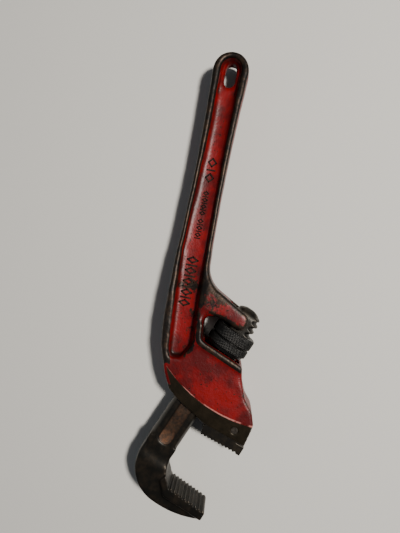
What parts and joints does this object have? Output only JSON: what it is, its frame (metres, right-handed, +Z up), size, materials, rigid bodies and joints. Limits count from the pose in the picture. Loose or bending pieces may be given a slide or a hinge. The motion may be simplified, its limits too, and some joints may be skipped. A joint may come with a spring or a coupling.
{
  "type": "offset pipe wrench",
  "caption": "Offset pipe wrench: red I-section handle with hang slot, angled head, knurled nut in a window, threaded hook jaw and toothed heel jaw.",
  "frame": {"origin": "on the surface that the wrench lies on, under the middle of its box, with the jaws open as modelled", "axes": "+X along the handle from the hang slot to the head, +Y towards the mouth of the jaws, +Z up from the flat side that the wrench lies on"},
  "size_m": [0.3424, 0.0812, 0.032],
  "materials": {
    "painted_casting": "worn red gloss paint on cast iron, bare dark metal on the rims",
    "jaw_forging": "dark oxidised forged steel, brighter on the worn edges",
    "nut_steel": "dark knurled steel, knurl tips worn bright",
    "heel_steel": "dark hardened steel with worn tooth tips",
    "pin_steel": "worn steel",
    "spring_steel": "plain spring steel"
  },
  "bodies": {
    "handle": {"handle_housing": "painted_casting", "heel_jaw": "heel_steel", "heel_jaw_pin": "pin_steel", "coil_spring": "spring_steel"},
    "shank_guide": {"flat_spring": "spring_steel"},
    "nut": {"adjusting_nut": "nut_steel"},
    "hook": {"hook_jaw": "jaw_forging"}
  },
  "joints": [
    {"name": "hook_rock", "type": "hinge", "parent": "handle", "child": "shank_guide", "pos_m": [0.03696, 0.01253, 0.016], "axis": [0, 0, 1], "range_deg": [-1.5, 1.5], "stiffness_Nm_per_rad": 60, "deforming": ["coil_spring"]},
    {"name": "nut_spin", "type": "hinge", "parent": "shank_guide", "child": "nut", "pos_m": [0.03696, 0.01253, 0.016], "axis": [0.9272, -0.3746, 0], "range_deg": [-900, 3000]},
    {"name": "hook_slide", "type": "slide", "parent": "shank_guide", "child": "hook", "axis": [0.9272, -0.3746, 0], "range_m": [-0.0415, 0.012]}
  ],
  "couplings": [
    {"joint": "nut_spin", "follows": "hook_slide", "rad_per_m": -1256.6}
  ]
}
